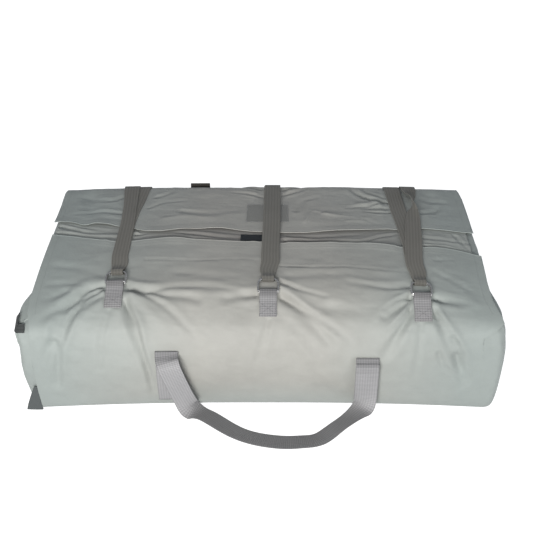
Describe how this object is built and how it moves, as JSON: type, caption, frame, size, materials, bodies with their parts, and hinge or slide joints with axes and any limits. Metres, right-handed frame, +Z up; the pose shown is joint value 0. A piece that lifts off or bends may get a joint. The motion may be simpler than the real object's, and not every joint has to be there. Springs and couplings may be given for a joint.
{
  "type": "boat carry cover, closed and strapped",
  "caption": "Wrap-around carry cover for a folded boat: coated cloth closed by two flaps and webbing straps through ring pairs, with webbing carry handles.",
  "frame": {"origin": "on the floor under the middle of the base", "axes": "+X along the cover, to the right seen from the front; +Y from the front to the back; +Z up"},
  "size_m": [1.0649, 0.8294, 0.2886],
  "materials": {
    "front_panel": "grey coated polyester cloth",
    "back_panel": "grey coated polyester cloth",
    "base_panel": "grey coated polyester cloth",
    "end_panel_left": "grey coated polyester cloth",
    "end_panel_right": "grey coated polyester cloth",
    "underlap": "grey coated polyester cloth",
    "corner_tuck": "dark grey cloth",
    "hook_patch": "near-black hook tape",
    "window_pocket": "clear film over the cloth",
    "front_handle": "grey ribbed webbing",
    "back_handle": "grey ribbed webbing",
    "end_loop": "dark webbing",
    "strap_left": "grey webbing",
    "strap_middle": "grey webbing",
    "strap_right": "grey webbing",
    "tab_left": "grey ribbed webbing",
    "tab_middle": "grey ribbed webbing",
    "tab_right": "grey ribbed webbing",
    "ring_left_lower": "dull steel wire",
    "ring_left_upper": "dull steel wire",
    "ring_middle_lower": "dull steel wire",
    "ring_middle_upper": "dull steel wire",
    "ring_right_lower": "dull steel wire",
    "ring_right_upper": "dull steel wire"
  },
  "bodies": {
    "root": {"front_panel": "front_panel", "back_panel": "back_panel", "base_panel": "base_panel", "end_panel_left": "end_panel_left", "end_panel_right": "end_panel_right", "underlap": "underlap", "corner_tuck": "corner_tuck", "hook_patch": "hook_patch", "window_pocket": "window_pocket", "front_handle": "front_handle", "back_handle": "back_handle", "end_loop": "end_loop", "strap_left": "strap_left", "strap_middle": "strap_middle", "strap_right": "strap_right", "tab_left": "tab_left", "tab_middle": "tab_middle", "tab_right": "tab_right", "ring_left_lower": "ring_left_lower", "ring_left_upper": "ring_left_upper", "ring_middle_lower": "ring_middle_lower", "ring_middle_upper": "ring_middle_upper", "ring_right_lower": "ring_right_lower", "ring_right_upper": "ring_right_upper"}
  },
  "joints": []
}
